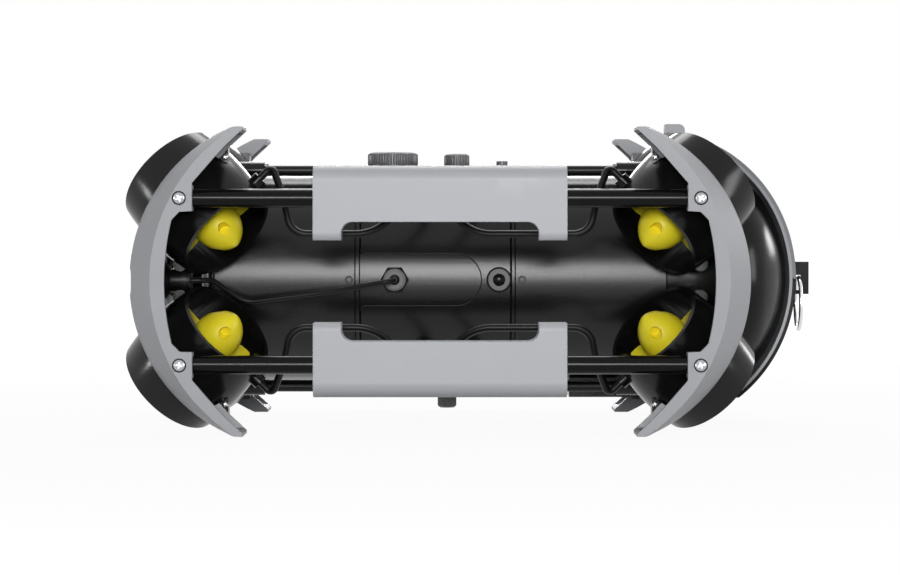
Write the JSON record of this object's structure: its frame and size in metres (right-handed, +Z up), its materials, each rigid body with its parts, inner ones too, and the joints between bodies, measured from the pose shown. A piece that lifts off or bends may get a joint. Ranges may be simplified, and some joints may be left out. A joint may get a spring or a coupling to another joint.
{
  "type": "underwater inspection rov",
  "caption": "Compact underwater inspection vehicle: a round pressure hull between pale guards, with angled ducted thrusters, hand grips on rails, lamps, camera dome and a strapped tail bowl",
  "frame": {"origin": "middle of the base of the bounding box, on the surface that the guard tips stand on", "axes": "+X forward along the hull, +Y to port, +Z up"},
  "size_m": [0.3828, 0.2704, 0.1705],
  "materials": {
    "hull_black": "satin black anodised",
    "gloss_black": "gloss black moulded",
    "duct_black": "satin black moulded",
    "guard_grey": "fine satin grey moulded",
    "grip_grey": "fine satin grey moulded",
    "rail_black": "gloss black coated tube",
    "rod_black": "black coated rod",
    "propeller_yellow": "satin yellow moulded",
    "motor_black": "black coated can",
    "cable_black": "satin black jacket",
    "bright_steel": "polished stainless",
    "dome_glass": "clear",
    "camera_black": "matte black",
    "cap_black": "knurled black anodised",
    "board_green": "solder mask",
    "battery_blue": "wrapped cells",
    "tray_metal": "plain sheet",
    "seal_rubber": "nitrile",
    "strap_black": "satin black moulded"
  },
  "bodies": {
    "hull_assembly": {"battery_pack": "battery_blue", "camera_bezel": "gloss_black", "camera_dome": "dome_glass", "camera_lens": "dome_glass", "camera_module": "camera_black", "control_board": "board_green", "electronics_tray": "tray_metal", "front_frames": "duct_black", "front_hull": "hull_black", "front_port_guard": "guard_grey", "front_port_lower_duct": "duct_black", "front_port_upper_duct": "duct_black", "front_starboard_guard": "guard_grey", "front_starboard_lower_duct": "duct_black", "front_starboard_upper_duct": "duct_black", "hinge_pins": "bright_steel", "hull_seals": "seal_rubber", "joint_sleeves": "tray_metal", "lamp_cables": "cable_black", "lamp_housings": "cap_black", "lamp_lenses": "dome_glass", "middle_hull": "hull_black", "motor_brackets": "duct_black", "nose_cap": "hull_black", "port_lower_grip": "grip_grey", "port_upper_grip": "grip_grey", "rail_screws": "bright_steel", "rails": "rail_black", "rear_frames": "duct_black", "rear_hull": "hull_black", "rear_port_guard": "guard_grey", "rear_port_lower_duct": "duct_black", "rear_port_upper_duct": "duct_black", "rear_starboard_guard": "guard_grey", "rear_starboard_lower_duct": "duct_black", "rear_starboard_upper_duct": "duct_black", "side_glands": "cap_black", "side_plugs": "cap_black", "starboard_lower_grip": "grip_grey", "starboard_upper_grip": "grip_grey", "tail_bowl": "gloss_black", "thruster_cables": "cable_black", "thruster_motors": "motor_black", "tie_rods": "rod_black", "vent_plug": "cap_black"},
    "front_port_upper_propeller_body": {"front_port_upper_propeller": "propeller_yellow"},
    "front_port_lower_propeller_body": {"front_port_lower_propeller": "propeller_yellow"},
    "front_starboard_upper_propeller_body": {"front_starboard_upper_propeller": "propeller_yellow"},
    "front_starboard_lower_propeller_body": {"front_starboard_lower_propeller": "propeller_yellow"},
    "rear_port_upper_propeller_body": {"rear_port_upper_propeller": "propeller_yellow"},
    "rear_port_lower_propeller_body": {"rear_port_lower_propeller": "propeller_yellow"},
    "rear_starboard_upper_propeller_body": {"rear_starboard_upper_propeller": "propeller_yellow"},
    "rear_starboard_lower_propeller_body": {"rear_starboard_lower_propeller": "propeller_yellow"},
    "strap_body": {"tail_strap": "strap_black", "strap_pad": "grip_grey"},
    "tow_ring_body": {"tow_ring": "bright_steel"},
    "latch_body": {"latch_lever": "guard_grey"},
    "large_cap_body": {"large_cap": "cap_black"},
    "small_cap_body": {"small_cap": "cap_black"},
    "bottom_knob_body": {"bottom_knob": "cap_black"}
  },
  "joints": [
    {"name": "front_port_upper_propeller_spin", "type": "hinge", "parent": "hull_assembly", "child": "front_port_upper_propeller_body", "pos_m": [0.14582, 0.08624, 0.11776], "axis": [0.6409, -0.4226, 0.6409], "continuous": true},
    {"name": "front_port_lower_propeller_spin", "type": "hinge", "parent": "hull_assembly", "child": "front_port_lower_propeller_body", "pos_m": [0.14582, 0.08624, 0.04724], "axis": [0.6409, -0.4226, -0.6409], "continuous": true},
    {"name": "front_starboard_upper_propeller_spin", "type": "hinge", "parent": "hull_assembly", "child": "front_starboard_upper_propeller_body", "pos_m": [0.14582, -0.08624, 0.11776], "axis": [0.6409, 0.4226, 0.6409], "continuous": true},
    {"name": "front_starboard_lower_propeller_spin", "type": "hinge", "parent": "hull_assembly", "child": "front_starboard_lower_propeller_body", "pos_m": [0.14582, -0.08624, 0.04724], "axis": [0.6409, 0.4226, -0.6409], "continuous": true},
    {"name": "rear_port_upper_propeller_spin", "type": "hinge", "parent": "hull_assembly", "child": "rear_port_upper_propeller_body", "pos_m": [-0.10709, 0.08624, 0.11776], "axis": [-0.6409, -0.4226, 0.6409], "continuous": true},
    {"name": "rear_port_lower_propeller_spin", "type": "hinge", "parent": "hull_assembly", "child": "rear_port_lower_propeller_body", "pos_m": [-0.10709, 0.08624, 0.04724], "axis": [-0.6409, -0.4226, -0.6409], "continuous": true},
    {"name": "rear_starboard_upper_propeller_spin", "type": "hinge", "parent": "hull_assembly", "child": "rear_starboard_upper_propeller_body", "pos_m": [-0.10709, -0.08624, 0.11776], "axis": [-0.6409, 0.4226, 0.6409], "continuous": true},
    {"name": "rear_starboard_lower_propeller_spin", "type": "hinge", "parent": "hull_assembly", "child": "rear_starboard_lower_propeller_body", "pos_m": [-0.10709, -0.08624, 0.04724], "axis": [-0.6409, 0.4226, -0.6409], "continuous": true},
    {"name": "strap_swing", "type": "hinge", "parent": "hull_assembly", "child": "strap_body", "pos_m": [-0.14063, 0, 0.0155], "axis": [0, -1, 0], "range_deg": [0, 100]},
    {"name": "tow_ring_swing", "type": "hinge", "parent": "strap_body", "child": "tow_ring_body", "pos_m": [-0.18573, 0, 0.0828], "axis": [0, 1, 0], "range_deg": [0, 80]},
    {"name": "latch_lift", "type": "hinge", "parent": "hull_assembly", "child": "latch_body", "pos_m": [-0.11223, 0, 0.1623], "axis": [0, 1, 0], "range_deg": [0, 80]},
    {"name": "large_cap_turn", "type": "hinge", "parent": "hull_assembly", "child": "large_cap_body", "pos_m": [0.04677, 0, 0.147], "axis": [0, 0, 1], "range_deg": [0, 330]},
    {"name": "small_cap_turn", "type": "hinge", "parent": "hull_assembly", "child": "small_cap_body", "pos_m": [0.01017, 0, 0.147], "axis": [0, 0, 1], "range_deg": [0, 330]},
    {"name": "bottom_knob_turn", "type": "hinge", "parent": "hull_assembly", "child": "bottom_knob_body", "pos_m": [0.01577, 0, 0.018], "axis": [0, 0, -1], "range_deg": [0, 330]}
  ]
}
